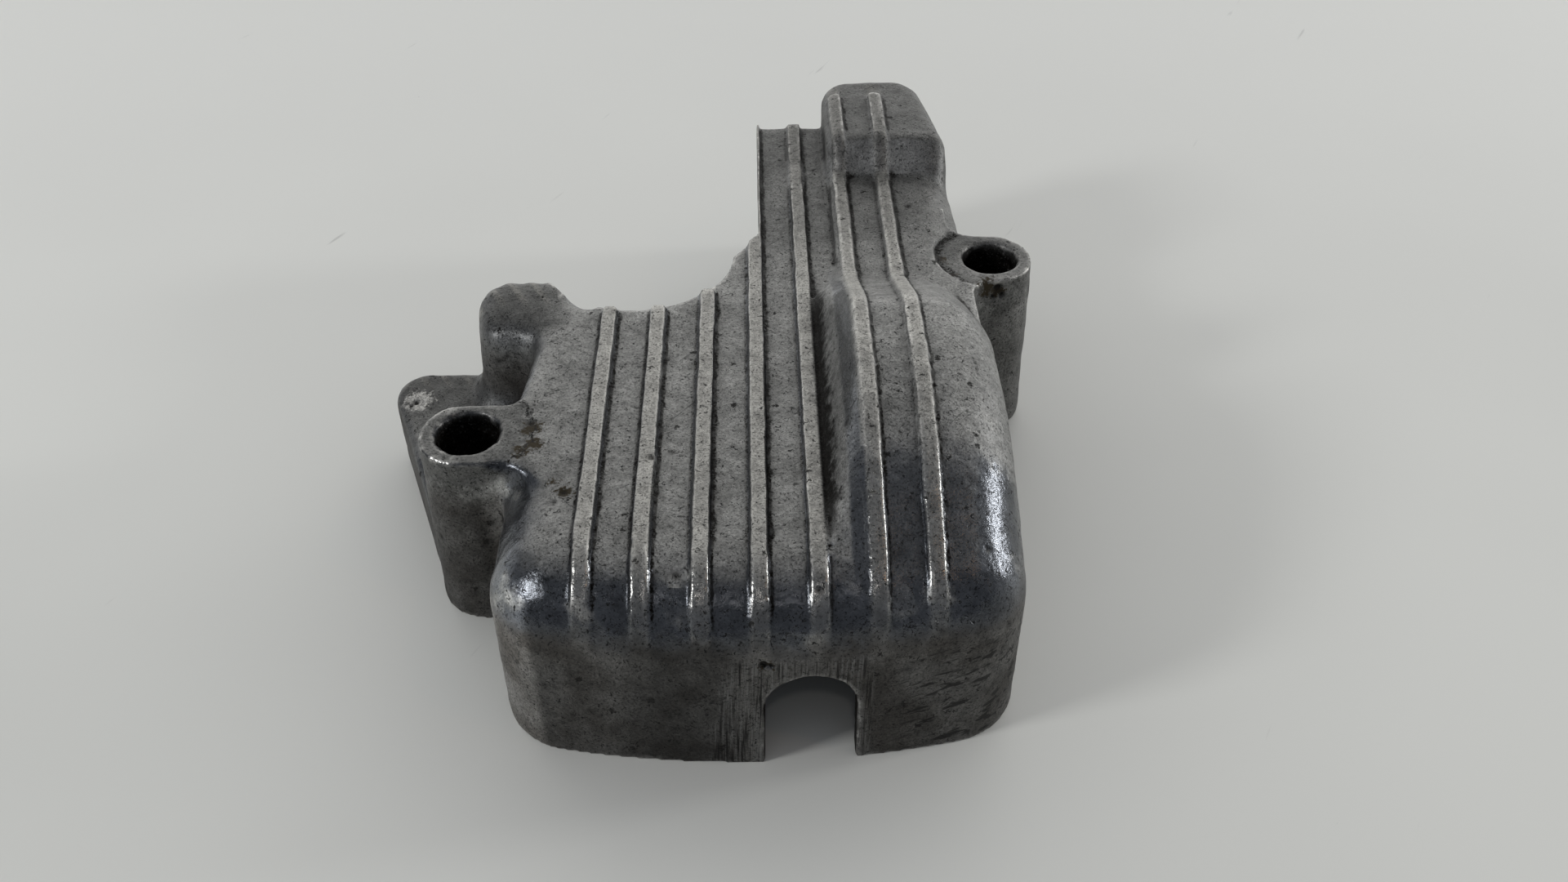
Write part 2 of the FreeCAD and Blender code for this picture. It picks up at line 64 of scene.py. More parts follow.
# Single dents of the worn casting: place in millimetres, radius and depth
DENTS = (
    ((-11.7, 21.9, 11.0), 0.50, 0.35), ((-12.2, 21.3, 11.0), 0.40, 0.30), ((63.5, 28.2, 23.0), 0.70, 0.45),
    ((64.1, 28.3, 22.0), 0.55, 0.35), ((63.0, 28.0, 21.9), 0.45, 0.25), ((32.7, -27.9, 15.8), 0.60, 0.40),
    ((33.4, -27.9, 15.6), 0.45, 0.30), ((56.6, 3.5, 30.4), 0.28, 0.16), ((56.7, 2.7, 30.3), 0.28, 0.16),
    ((56.8, 1.9, 30.2), 0.28, 0.16), ((56.9, 1.1, 30.1), 0.28, 0.16), ((-4.4, -4.0, 11.6), 0.75, 0.12),
    ((7.0, 1.4, 24.0), 0.60, 0.15), ((11.8, -10.5, 24.0), 0.55, 0.18), ((10.9, -11.9, 24.0), 0.40, 0.16),
    ((2.2, -5.4, 15.0), 0.50, 0.15), ((1.4, -5.5, 12.2), 0.45, 0.15),
)
# Stains of old oil: place in millimetres and reach
STAINS = (
    ((7.2, 0.6, 24.0), 1.5), ((7.6, -2.4, 24.0), 1.3), ((6.4, -3.4, 24.0), 1.2), ((11.8, -10.4, 24.0), 1.1),
    ((10.4, -8.6, 24.0), 0.8), ((61.9, 28.0, 23.4), 1.5), ((63.5, 28.2, 22.4), 1.2), ((57.0, 33.0, 24.4), 0.9),
    ((57.6, 29.5, 24.4), 0.8), ((32.9, -27.9, 15.7), 0.8),
)
# Dark joints round the pads of the screw bosses: hole, reach, half width and the side that they lie on
JOINTS = ((LEFT_HOLE, 7.5, 0.30, 1.0), (RIGHT_HOLE, 6.7, 0.60, -1.0))

# Lamps: name, azimuth from the rear and elevation in degrees, distance, size and colour
LAMPS = (
    ("key", (180, 52), 0.60, (0.025, 0.025), (1.0, 0.95, 0.92)),
    ("left_window", (-112, 30), 0.70, (0.12, 0.145), (1.0, 1.0, 1.0)),
    ("right_window", (80, 15), 0.62, (0.07, 0.05), (1.0, 1.0, 1.0)),
    ("warm_lamp", (120, 52), 0.60, (0.02, 0.02), (1.0, 0.55, 0.25)),
)
LAMP_TARGET = (0.03, 0.01, 0.02)
ROOM_FRONT, ROOM_REAR = (0.22, 0.23, 0.25), (0.86, 0.86, 0.85)
TABLE_SIZE = 3.0

# The solved camera: lens and sensor in millimetres, nearest distance and place in metres, turns in degrees
LENS, SENSOR, CLIP_START = 32.19, 36.0, 0.005
CAMERA_PLACE = (0.032805, -0.121387, 0.123629)
CAMERA_TURNS = ((-1.231, "Z"), (50.004, "X"), (-0.208, "Z"))


class CastingShape(bpy.types.PropertyGroup):
    """Sizes of the casting's small forms, which the solid model leaves sharp."""
    grain: FloatProperty(
        name="Grain", description="Size of the remeshed skin's cells, which also softens every edge",
        default=0.00026, unit="LENGTH")
    face_share: IntProperty(
        name="Faces", description="Triangles kept in the finished casting", default=190000)
    waviness: FloatProperty(
        name="Waviness", description="Depth of the slow unevenness of the cast skin",
        default=0.00016, unit="LENGTH")
    wander: FloatProperty(
        name="Edge wander", description="How far edges wander from a straight line",
        default=0.00022, unit="LENGTH")
    bore_roughness: FloatProperty(
        name="Bore roughness", description="Depth of the rough skin in the screw holes",
        default=0.0007, unit="LENGTH")
    small_dents: IntProperty(
        name="Small dents", description="Number of small dents scattered over the casting", default=190)


class CastingFinish(bpy.types.PropertyGroup):
    """Colours of the worn aluminium, among them painted reflection, glint and shade."""
    metal: FloatVectorProperty(
        name="Metal", description="Colour of the dull cast skin", subtype="COLOR",
        size=3, default=(0.238, 0.238, 0.230))
    rubbed: FloatVectorProperty(
        name="Rubbed", description="Colour of rubbed rib tops and edges", subtype="COLOR",
        size=3, default=(0.335, 0.328, 0.306))
    # Bare metal on scrapes, and on sharp edges also a painted glint
    bright: FloatVectorProperty(
        name="Bright", description="Colour of bare edges and scrapes", subtype="COLOR",
        size=3, default=(0.64, 0.63, 0.60))
    # The dark blue-grey of the smooth rounds is a painted reflection of the dim room in front
    polished: FloatVectorProperty(
        name="Polished", description="Colour of the smooth rounded edges", subtype="COLOR",
        size=3, default=(0.070, 0.077, 0.090))
    # Oil in pits, dents and joints; oil and painted shade in corners and the valley beside the dome; painted shade
    # in the bores and the hollow underside
    oil_and_shade: FloatVectorProperty(
        name="Grime", description="Colour of old oil in pits and corners", subtype="COLOR",
        size=3, default=(0.006, 0.005, 0.004))
    wall_film: FloatVectorProperty(
        name="Wall film", description="Colour of the brown film on the lower walls", subtype="COLOR",
        size=3, default=(0.084, 0.078, 0.070))
    stain: FloatVectorProperty(
        name="Stain", description="Colour of the brown stains", subtype="COLOR",
        size=3, default=(0.030, 0.021, 0.007))


class StudioStage(bpy.types.PropertyGroup):
    """The pale table, the lamps and the room."""
    floor_colour: FloatVectorProperty(
        name="Floor", description="Colour of the pale table", subtype="COLOR",
        size=3, default=(0.80, 0.805, 0.765))
    sky: FloatProperty(name="Sky", description="Brightness of the room", default=1.0)
    key: FloatProperty(
        name="Key lamp", description="Power of the lamp above the camera", default=0.06, unit="POWER")
    left: FloatProperty(
        name="Left window", description="Power of the window on the left", default=1.25, unit="POWER")
    right: FloatProperty(
        name="Right window", description="Power of the window on the right", default=0.7, unit="POWER")
    warm: FloatProperty(
        name="Warm lamp", description="Power of the warm lamp on the right", default=0.03, unit="POWER")


def deselect_all():
    if bpy.context.object and bpy.context.object.mode != "OBJECT":
        bpy.ops.object.mode_set(mode="OBJECT")
    bpy.ops.object.select_all(action="DESELECT")


def make_active(piece):
    deselect_all()
    piece.select_set(True)
    bpy.context.view_layer.objects.active = piece


def apply_modifier(piece, name, kind, **values):
    make_active(piece)
    modifier = piece.modifiers.new(name, kind)
    for key, value in values.items():
        setattr(modifier, key, value)
    bpy.ops.object.modifier_apply(modifier=modifier.name)


# Mesh helpers

def points_of(mesh):
    """The mesh's points in millimetres."""
    flat = np.empty(len(mesh.vertices) * 3)
    mesh.vertices.foreach_get("co", flat)
    return flat.reshape(-1, 3) / MM


def normals_of(mesh):
    flat = np.empty(len(mesh.vertices) * 3)
    mesh.vertex_normals.foreach_get("vector", flat)
    return flat.reshape(-1, 3)


def put_points(mesh, points):
    mesh.vertices.foreach_set("co", (points * MM).ravel())
    mesh.update()


def smooth_step(value, low, high):
    """Goes smoothly from 0 to 1 while the value goes from low to high."""
    share = np.clip((value - low) / (high - low), 0, 1)
    return share * share * (3 - 2 * share)


def inside_span(value, rise, fall):
    """One where the value has passed rise and hasn't come to fall, with soft ends."""
    return smooth_step(value, *rise) * smooth_step(value, *fall)


def add_group(piece, name, weight, levels=8):
    """A vertex group that holds the weight of each point in a few even levels."""
    group = piece.vertex_groups.new(name=name)
    rounded = np.rint(weight * levels).astype(int)
    for level in range(1, levels + 1):
        members = np.nonzero(rounded == level)[0]
        if len(members):
            group.add(members.tolist(), level / levels, "REPLACE")
    return group.name


def edge_ends(mesh):
    """The two points of every edge."""
    ends = np.empty(len(mesh.edges) * 2, dtype=np.int32)
    mesh.edges.foreach_get("vertices", ends)
    return ends.reshape(-1, 2)


def eased(points, ends, weight, rounds):
    """Smooths the skin where the weight says, to blend forms that the solid model joins with an edge."""
    touched = ends[(weight[ends[:, 0]] > 0) | (weight[ends[:, 1]] > 0)]
    used, local = np.unique(touched, return_inverse=True)
    one, two = local.reshape(-1, 2).T
    count = len(used)
    share = 1.0 / (np.bincount(one, minlength=count) + np.bincount(two, minlength=count))
    pull = 0.5 * weight[used]
    part = points[used]
    for _ in range(rounds):
        for axis in range(3):
            column = part[:, axis].copy()
            near = np.bincount(one, column[two], count) + np.bincount(two, column[one], count)
            part[:, axis] = column + pull * (near * share - column)
    points = points.copy()
    points[used] = part
    return points


def averaged(mesh, values, rounds):
    """Values averaged with their neighbours on the mesh, many times over."""
    one, two = edge_ends(mesh).T
    count = len(mesh.vertices)
    share = 1.0 / np.maximum(np.bincount(one, minlength=count) + np.bincount(two, minlength=count), 1)
    values = values.copy()
    for _ in range(rounds):
        for axis in range(values.shape[1]):
            column = values[:, axis]
            near = np.bincount(one, column[two], count) + np.bincount(two, column[one], count)
            values[:, axis] = 0.5 * column + 0.5 * near * share
    return values


def write_mark(mesh, name, values):
    mark = mesh.attributes.new(name=name, type="FLOAT", domain="POINT")
    mark.data.foreach_set("value", np.clip(values, 0, 1).astype(np.float32))


# Shape of the casting

def soften_blends(mesh):
    """Gives the forms that the solid model joins with plain steps their soft sweeps."""
    points = points_of(mesh)
    x, y, z = points.T
    dome_crest = (inside_span(x, (39.9, 41.0), (43.6, 43.0)) * smooth_step(z, 20.0, 22.0)
                  * smooth_step(y, 33.0, 29.0) * (y > -27.0))
    pad_fold = (smooth_step(np.hypot(x - 7.0, y + 7.0), 5.2, 2.6) * smooth_step(z, 15.0, 19.0)
                * smooth_step(x, 12.8, 12.0))
    riser = (inside_span(y, (51.5, 54.0), (60.5, 58.5)) * smooth_step(z, 23.0, 24.5)
             * smooth_step(x, 34.5, 36.0))
    end_side = smooth_step(x, 54.0, 56.5) * smooth_step(y, 50.0, 54.0) * smooth_step(z, 20.0, 23.0)
    # The saddle between the shoulder and the left pad sweeps up to the deck on a slant
    slant = (inside_span(x, (3.0, 6.5), (12.2, 9.0)) * inside_span(y, (5.0, 8.0), (26.0, 22.0))
             * smooth_step(z, 11.5, 16.0))
    points[:, 0] += slant * np.interp(y, (8.0, 15.0, 22.0), (-0.9, 0.2, 1.5))
    saddle = (inside_span(x, (-6.5, -4.5), (12.8, 10.5)) * inside_span(y, (4.5, 8.0), (27.5, 24.0))
              * smooth_step(z, 11.3, 13.0))
    ends = edge_ends(mesh)
    for weight, rounds in ((dome_crest, 120), (riser, 12), (end_side, 60), (saddle, 330), (pad_fold, 90)):
        points = eased(points, ends, weight, rounds)
    put_points(mesh, points)


def clouds(name, size, **values):
    texture = bpy.data.textures.new(name, "CLOUDS")
    texture.noise_scale = size
    for key, value in values.items():
        setattr(texture, key, value)
    return texture


def all_dents(points, normals, count):
    """The dents that stand out, then many small ones spread over the outside."""
    seeds = np.random.default_rng(DENT_SEED)
    dents = [(np.array(centre), radius, deep) for centre, radius, deep in DENTS]
    free = np.nonzero((points[:, 2] > 1.0) & (normals[:, 2] > -0.3))[0]
    for index in seeds.choice(free, count, replace=False):
        radius = 0.22 + 0.36 * seeds.random() ** 5
        dents.append((points[index], radius, radius * (0.10 + 0.35 * seeds.random())))
    return dents


def press_dents(points, normals, dents):
    """Presses round dents into the skin and returns how dark each point is in its dent."""
    depth = np.zeros(len(points))
    dark = np.zeros(len(points))
    for centre, radius, deep in dents:
        near = np.nonzero(np.all(np.abs(points - centre) < radius * 1.5, axis=1))[0]
        if len(near) == 0:
            continue
        share = 1 - np.clip(np.linalg.norm(points[near] - centre, axis=1) / radius, 0, 1) ** 2
        depth[near] = np.maximum(depth[near], deep * share)
        dark[near] = np.maximum(dark[near], np.minimum(1, 1.6 * share))
    return points - normals * depth[:, None], dark


def raise_burr_and_ridges(points, normals):
    """The burr at the arm's left rear corner and the slanting ridges on the shoulder's top."""
    burr = np.clip(1 - np.linalg.norm((points - BURR) / BURR_SIZE, axis=1), 0, 1)
    points[:, 2] += BURR_HEIGHT * burr
    zone = (inside_span(points[:, 0], (-3.5, -1.5), (7.5, 5.0)) * smooth_step(points[:, 1], 24.0, 26.5)
            * smooth_step(points[:, 2], 20.0, 22.5))
    waves = np.cos(points[:, :2] @ RIDGE_TURN * 2 * math.pi / RIDGE_PITCH)
    return points + normals * (RIDGE_HEIGHT * zone * waves)[:, None]


def write_marks(mesh, dark, bore_share):
    """Marks that the finish reads: how hollow or proud each point is, close up and over a wider reach, and
    which points lie in a dent, in a bore or on a rib."""
    points, normals = points_of(mesh), normals_of(mesh)
    near = averaged(mesh, points, 6)
    wide = averaged(mesh, near, 70)
    lift_near = np.einsum("ij,ij->i", near - points, normals)
    lift_wide = np.einsum("ij,ij->i", wide - points, normals)
    close, far, dent = averaged(mesh, np.stack((lift_near, lift_wide, dark), axis=1), 2).T
    # The dark of oil and painted shade sits in the foot on the right of each rib, and hardly on its left
    x, y, z = points.T
    beside = (x - FIRST_RIB + RIB_PITCH / 2) % RIB_PITCH - RIB_PITCH / 2
    ribbed = (z > 18.0) & (x > 11.5) & (x < 53.0)
    oil_and_shade_side = np.where(ribbed, np.where(beside > 0, 1.15, 0.60), 1.0)
    on_rib = np.zeros(len(points))
    for number in range(RIB_COUNT):
        away = np.abs(x - (FIRST_RIB + number * RIB_PITCH))
        on_rib = np.maximum(on_rib, smooth_step(away, RIB_HALF_WIDTH + 0.15, RIB_HALF_WIDTH - 0.25))
    write_mark(mesh, "hollow", oil_and_shade_side * (close - 0.012) / 0.028)
    write_mark(mesh, "rim", (-close - 0.024) / 0.040)
    write_mark(mesh, "deep", far / 0.22)
    write_mark(mesh, "dent", dent)
    write_mark(mesh, "bore", bore_share)
    write_mark(mesh, "rib", on_rib * (z > RIB_FOOT_HEIGHT) * (y < RIB_END))


def mark_inside(piece):
    """Marks the points of the hollow underside: the ones that have metal straight above them."""
    mesh = piece.data
    tree = BVHTree.FromObject(piece, bpy.context.evaluated_depsgraph_get())
    points, normals = points_of(mesh) * MM, normals_of(mesh)
    starts = points + normals * 0.4 * MM
    up = Vector((0, 0, 1))
    write_mark(mesh, "inside", np.array([tree.ray_cast(Vector(start), up)[0] is not None for start in starts]))


# Node helpers

def place(tree, kind, inputs=None, **settings):
    """A node with its settings, its inputs linked or set."""
    node = tree.nodes.new(kind)
    for key, value in settings.items():
        setattr(node, key, value)
    for key, value in (inputs or {}).items():
        if isinstance(value, bpy.types.NodeSocket):
            tree.links.new(value, node.inputs[key])
        else:
            node.inputs[key].default_value = value
    return node


def calc(tree, operation, one, two=0.0):
    return place(tree, "ShaderNodeMath", {0: one, 1: two}, operation=operation).outputs[0]


def times(tree, *values):
    result = values[0]
    for value in values[1:]:
        result = calc(tree, "MULTIPLY", result, value)
    return result


def larger(tree, *values):
    result = values[0]
    for value in values[1:]:
        result = calc(tree, "MAXIMUM", result, value)
    return result


def scaled(tree, value, factor, offset):
    """The value times a factor, plus an offset."""
    return place(tree, "ShaderNodeMath", {0: value, 1: factor, 2: offset}, operation="MULTIPLY_ADD").outputs[0]


def window(tree, value, low, high, bottom=0.0, top=1.0):
    """Goes smoothly from bottom to top while the value goes from low to high."""
    return place(tree, "ShaderNodeMapRange", {0: value, 1: low, 2: high, 3: bottom, 4: top},
                 interpolation_type="SMOOTHSTEP").outputs[0]


def span(tree, value, rise, fall):
    """One where the value has passed rise and hasn't come to fall, with soft ends."""
    return times(tree, window(tree, value, *rise), window(tree, value, *fall))


def mix(tree, factor, one, two):
    return place(tree, "ShaderNodeMix", {0: factor, 2: one, 3: two}).outputs[0]


def blend_colour(tree, factor, one, two):
    one = one if isinstance(one, bpy.types.NodeSocket) else (*one, 1)
    two = two if isinstance(two, bpy.types.NodeSocket) else (*two, 1)
    return place(tree, "ShaderNodeMix", {0: factor, 6: one, 7: two}, data_type="RGBA").outputs[2]


def shade(tree, colour, factor):
    """The colour times a factor."""
    return place(tree, "ShaderNodeVectorMath", {0: colour, "Scale": factor}, operation="SCALE").outputs[0]


def dimmed(tree, colour, mask, share):
    """The colour, darker by a share where the mask is one."""
    return shade(tree, colour, calc(tree, "SUBTRACT", 1.0, times(tree, mask, share)))


def brightened(tree, colour, mask, share):
    """The colour, brighter by a share where the mask is one."""
    return shade(tree, colour, calc(tree, "ADD", 1.0, times(tree, mask, share)))


def noise(tree, vector, scale, detail=2.0, roughness=0.5, distortion=0.0):
    return place(tree, "ShaderNodeTexNoise", {"Vector": vector, "Scale": scale, "Detail": detail,
                                              "Roughness": roughness, "Distortion": distortion})


def shifted(tree, vector, pattern, amount):
    """The vector moved by a coloured pattern times an amount."""
    return place(tree, "ShaderNodeVectorMath", {0: pattern, 1: (amount, amount, amount), 2: vector},
                 operation="MULTIPLY_ADD").outputs[0]


def distance(tree, vector, centre):
    return place(tree, "ShaderNodeVectorMath", {0: vector, 1: centre}, operation="DISTANCE").outputs["Value"]


def new_group(name, inputs, outputs):
    group = bpy.data.node_groups.new(name, "ShaderNodeTree")
    for label, kind, default in inputs:
        socket = group.interface.new_socket(name=label, in_out="INPUT", socket_type=kind)
        if default is not None:
            socket.default_value = default
    for label, kind in outputs:
        group.interface.new_socket(name=label, in_out="OUTPUT", socket_type=kind)
    return group, group.nodes.new("NodeGroupInput").outputs, group.nodes.new("NodeGroupOutput").inputs


def use_group(tree, group, **inputs):
    return place(tree, "ShaderNodeGroup", inputs, node_tree=group).outputs


def fleck_group():
    """Irregular flecks, which cover more of the surface as Cover rises."""
    group, given, result = new_group(
        "flecks",
        (("Vector", "NodeSocketVector", None), ("Scale", "NodeSocketFloat", 1.0),
         ("Cover", "NodeSocketFloat", 0.3), ("Softness", "NodeSocketFloat", 0.05)),
        (("Mask", "NodeSocketFloat"),))
    field = noise(group, given["Vector"], given["Scale"], 4.0, 0.62, 0.9).outputs[0]
    middle = scaled(group, given["Cover"], 0.35, 0.27)
    low = calc(group, "SUBTRACT", middle, given["Softness"])
    high = calc(group, "ADD", middle, given["Softness"])
    group.links.new(window(group, field, low, high, 1.0, 0.0), result["Mask"])
    return group


def scratch_group():
    """Thin streaks along one axis of the vector, which Angle turns about Z."""
    group, given, result = new_group(
        "scratches",
        (("Vector", "NodeSocketVector", None), ("Angle", "NodeSocketFloat", 0.0),
         ("Scale", "NodeSocketFloat", 4.0), ("Stretch", "NodeSocketFloat", 0.05),
         ("Cover", "NodeSocketFloat", 0.3)),
        (("Mask", "NodeSocketFloat"), ("Height", "NodeSocketFloat")))
    turned = place(group, "ShaderNodeVectorRotate", {"Vector": given["Vector"], "Angle": given["Angle"]},
                   rotation_type="Z_AXIS").outputs[0]
    parts = place(group, "ShaderNodeSeparateXYZ", {0: turned}).outputs
    along = times(group, parts[1], given["Stretch"])
    laid = place(group, "ShaderNodeCombineXYZ", {0: parts[0], 1: along, 2: parts[2]}).outputs[0]
    field = noise(group, laid, given["Scale"], 3.0, 0.55).outputs[0]
    middle = scaled(group, given["Cover"], -0.35, 0.75)
    low = calc(group, "SUBTRACT", middle, 0.06)
    group.links.new(window(group, field, low, middle), result["Mask"])
    group.links.new(field, result["Height"])
    return group


# Finish of the cast metal, with its lengths in millimetres

class Skin:
    """What the finish knows of each point of the skin: its place, its marks and the masks made from them."""


def read_skin(tree, flecks, scratches):
    """Each point's place, slope and marks, three noises, and the flecks and streaks spread over the skin."""
    skin = Skin()
    seat = place(tree, "ShaderNodeTexCoord").outputs
    skin.at = shade(tree, seat["Object"], 1 / MM)
    skin.x, skin.y, skin.z = place(tree, "ShaderNodeSeparateXYZ", {0: skin.at}).outputs
    skin.to_rear, skin.up = place(tree, "ShaderNodeSeparateXYZ", {0: seat["Normal"]}).outputs[1:]
    for name in ("hollow", "rim", "deep", "dent", "bore", "rib", "inside"):
        setattr(skin, name, place(tree, "ShaderNodeAttribute", attribute_name=name).outputs["Fac"])

    skin.slow = noise(tree, skin.at, 0.16, 3.0).outputs[0]
    skin.medium = noise(tree, skin.at, 0.7, 4.0, 0.6).outputs[0]
    skin.fine = noise(tree, skin.at, 3.6, 4.0, 0.7).outputs[0]
    # A ragged shift of up to 2.5 mm, so that no border runs straight
    skin.ragged = scaled(tree, skin.medium, 5.0, -2.5)
    skin.ragged_length = calc(tree, "ADD", skin.y, skin.ragged)
    wander = place(tree, "ShaderNodeVectorMath", {0: noise(tree, skin.at, 1.4, 3.0, 0.65).outputs[1],
                                                  1: (0.5, 0.5, 0.5)}, operation="SUBTRACT").outputs[0]
    skin.moved = shifted(tree, skin.at, wander, 4.2)

    def fleck(scale, cover, softness, shift=0.0):
        vector = skin.at if shift == 0 else place(
            tree, "ShaderNodeVectorMath", {0: skin.at, 1: (shift, shift, shift)}, operation="ADD").outputs[0]
        return use_group(tree, flecks, Vector=vector, Scale=scale, Cover=cover, Softness=softness)["Mask"]

    skin.fine_flecks = fleck(3.4, 0.40, 0.025)
    skin.small_flecks = fleck(1.9, 0.27, 0.012, 31.0)
    skin.spots = fleck(0.9, 0.10, 0.03, 57.0)
    skin.patches = fleck(0.35, 0.42, 0.10, 83.0)

    on_wall = place(tree, "ShaderNodeCombineXYZ", {0: skin.x, 1: skin.z, 2: skin.y}).outputs[0]
    skin.strokes = use_group(tree, scratches, Vector=on_wall, Angle=0.03, Scale=3.6, Stretch=0.035,
                             Cover=0.75)["Height"]
    skin.slanting_cuts = use_group(tree, scratches, Vector=on_wall, Angle=1.36, Scale=1.2, Stretch=0.12,
                                   Cover=0.38)["Mask"]
    skin.top_cuts = use_group(tree, scratches, Vector=skin.at, Angle=0.75, Scale=2.2, Stretch=0.06,
                              Cover=0.10)["Mask"]
    return skin


def find_walls(tree, skin):
    """The filmed lower walls, and on the front wall the file marks round the notch and the cuts on its right."""
    upright = window(tree, skin.up, 0.50, 0.12)
    ragged_height = calc(tree, "ADD", skin.z, skin.ragged)
    skin.low_wall = times(tree, window(tree, ragged_height, 21.5, 17.0), upright,
                          window(tree, skin.x, 61.5, 59.5, 0.25, 1.0))
    # The left border of the file marks leans
    border = calc(tree, "SUBTRACT", calc(tree, "ADD", skin.x, times(tree, skin.ragged, 0.35)),
                  scaled(tree, skin.z, 0.15, 26.3))
    skin.filed = times(tree, window(tree, border, -0.3, 0.9), window(tree, skin.x, 44.4, 43.6),
                       window(tree, skin.z, 16.8, 15.4), window(tree, skin.to_rear, -0.8, -0.93))
    skin.wall_cuts = times(tree, skin.slanting_cuts, window(tree, skin.x, 44.0, 50.0),
                           window(tree, skin.y, -8.0, -14.0), upright, window(tree, skin.z, 17.0, 14.0))


def find_polish(tree, skin):
    """The smooth, less rough rounds, whose dark blue-grey is a painted reflection: the front and side edges, the
    dome's front and the strip on its left crest.
    """
    rounded = span(tree, skin.up, (0.0, 0.25), (0.97, 0.80))
    polish = times(tree, rounded, window(tree, skin.slow, 0.72, 0.58))
    right_of_ribs = window(tree, skin.x, 38.0, 39.0)
    flank = times(tree, right_of_ribs, window(tree, skin.x, 42.8, 41.2), window(tree, skin.y, -21.0, -17.0))
    rear = times(tree, right_of_ribs, window(tree, skin.ragged_length, -12.0, -8.0),
                 window(tree, skin.y, 54.0, 52.0))
    matte = larger(tree, flank, rear)
    shoulder = times(tree, window(tree, skin.x, 11.0, 8.0), window(tree, skin.y, 10.0, 14.0))
    polish = times(tree, polish, window(tree, matte, 0.0, 1.0, 1.0, 0.12),
                   window(tree, skin.y, 48.0, 53.0, 1.0, 0.20),
                   calc(tree, "SUBTRACT", 1.0, times(tree, shoulder, 0.55)))
    # The dome's front and the strip on its left crest also take the painted dark reflection
    dome_front = times(tree, span(tree, skin.x, (42.6, 43.6), (59.0, 56.5)),
                       window(tree, skin.ragged_length, -7.0, -13.0, 0.0, 0.75),
                       window(tree, skin.up, 0.45, 0.65))
    crest_strip = times(tree, span(tree, skin.x, (41.5, 42.1), (43.5, 43.0)),
                        window(tree, skin.ragged_length, 34.0, 22.0, 0.0, 0.85))
    skin.polish = larger(tree, polish, dome_front, crest_strip)
    # The riser of the raised end is duller than the rounds, and painted light lightens its colour
    skin.riser = times(tree, span(tree, skin.y, (51.0, 53.0), (61.0, 59.0)), window(tree, skin.up, 0.97, 0.78),
                       window(tree, skin.rib, 0.6, 0.2), window(tree, skin.x, 58.5, 54.0))


def find_joints(tree, skin):
    """Broken dark lines round the pads of the two screw bosses."""
    lines = []
    for centre, reach, width, turn in JOINTS:
        away = calc(tree, "ADD", distance(tree, skin.at, (*centre, PAD_HEIGHT)), times(tree, skin.ragged, 0.5))
        off_line = calc(tree, "ABSOLUTE", calc(tree, "SUBTRACT", away, reach))
        beside = times(tree, calc(tree, "SUBTRACT", skin.x, centre[0]), turn)
        lines.append(times(tree, window(tree, off_line, width, width * 0.4), window(tree, skin.up, 0.6, 0.9),
                           window(tree, beside, 2.5, 4.0)))
    return times(tree, larger(tree, *lines), window(tree, skin.fine, 0.42, 0.56))


def find_oil_and_shade(tree, skin):
    """Stains, pits, and the dark of oil in dents and joints, of oil and painted shade in corners and the valley
    beside the dome, and of painted shade in the bores and the hollow underside.
    """
    skin.stains = larger(tree, *(window(tree, distance(tree, skin.moved, centre), reach, reach * 0.55)
                                 for centre, reach in STAINS))
    shaken = shifted(tree, skin.at, noise(tree, skin.at, 2.2, 3.0, 0.6).outputs[1], 1.6)
    cells = place(tree, "ShaderNodeTexVoronoi", {"Vector": shaken, "Scale": 0.62, "Randomness": 1.0})
    cell_size = place(tree, "ShaderNodeSeparateColor", {0: cells.outputs["Color"]}).outputs[0]
    past_edge = calc(tree, "SUBTRACT", cells.outputs["Distance"], window(tree, cell_size, 0.70, 1.0, 0.0, 0.20))
    skin.pits = times(tree, window(tree, past_edge, 0.05, -0.05), window(tree, cell_size, 0.70, 0.80))

    across = calc(tree, "ADD", skin.x, times(tree, skin.ragged, 0.5))
    # The valley beside the dome: oil and painted shade
    valley = times(tree, window(tree, skin.x, 39.0, 39.4), window(tree, across, 41.2, 40.2),
                   span(tree, skin.y, (-22.0, -12.0), (30.0, 20.0)),
                   window(tree, skin.fine, 0.45, 0.60, 1.0, 0.90))
    # Corners: the dark of oil and painted shade
    corner = window(tree, times(tree, skin.hollow, window(tree, skin.fine, 0.30, 0.66, 0.55, 1.25)), 0.35, 0.95)
    corner = times(tree, corner, window(tree, skin.medium, 0.30, 0.62, 0.55, 1.0))
    # Bores: painted shade, broken by lighter crumbs
    bore_skin = times(tree, skin.bore, window(tree, skin.fine, 0.55, 0.62, 1.0, 0.45))
    dents = times(tree, skin.dent, window(tree, skin.fine, 0.35, 0.60, 0.35, 1.0))
    # The hollow underside is painted dark: painted shade
    skin.oil_and_shade = larger(tree, corner, dents, times(tree, skin.pits, 0.80), valley, find_joints(tree, skin),
                        bore_skin, times(tree, skin.spots, 0.6), skin.inside)


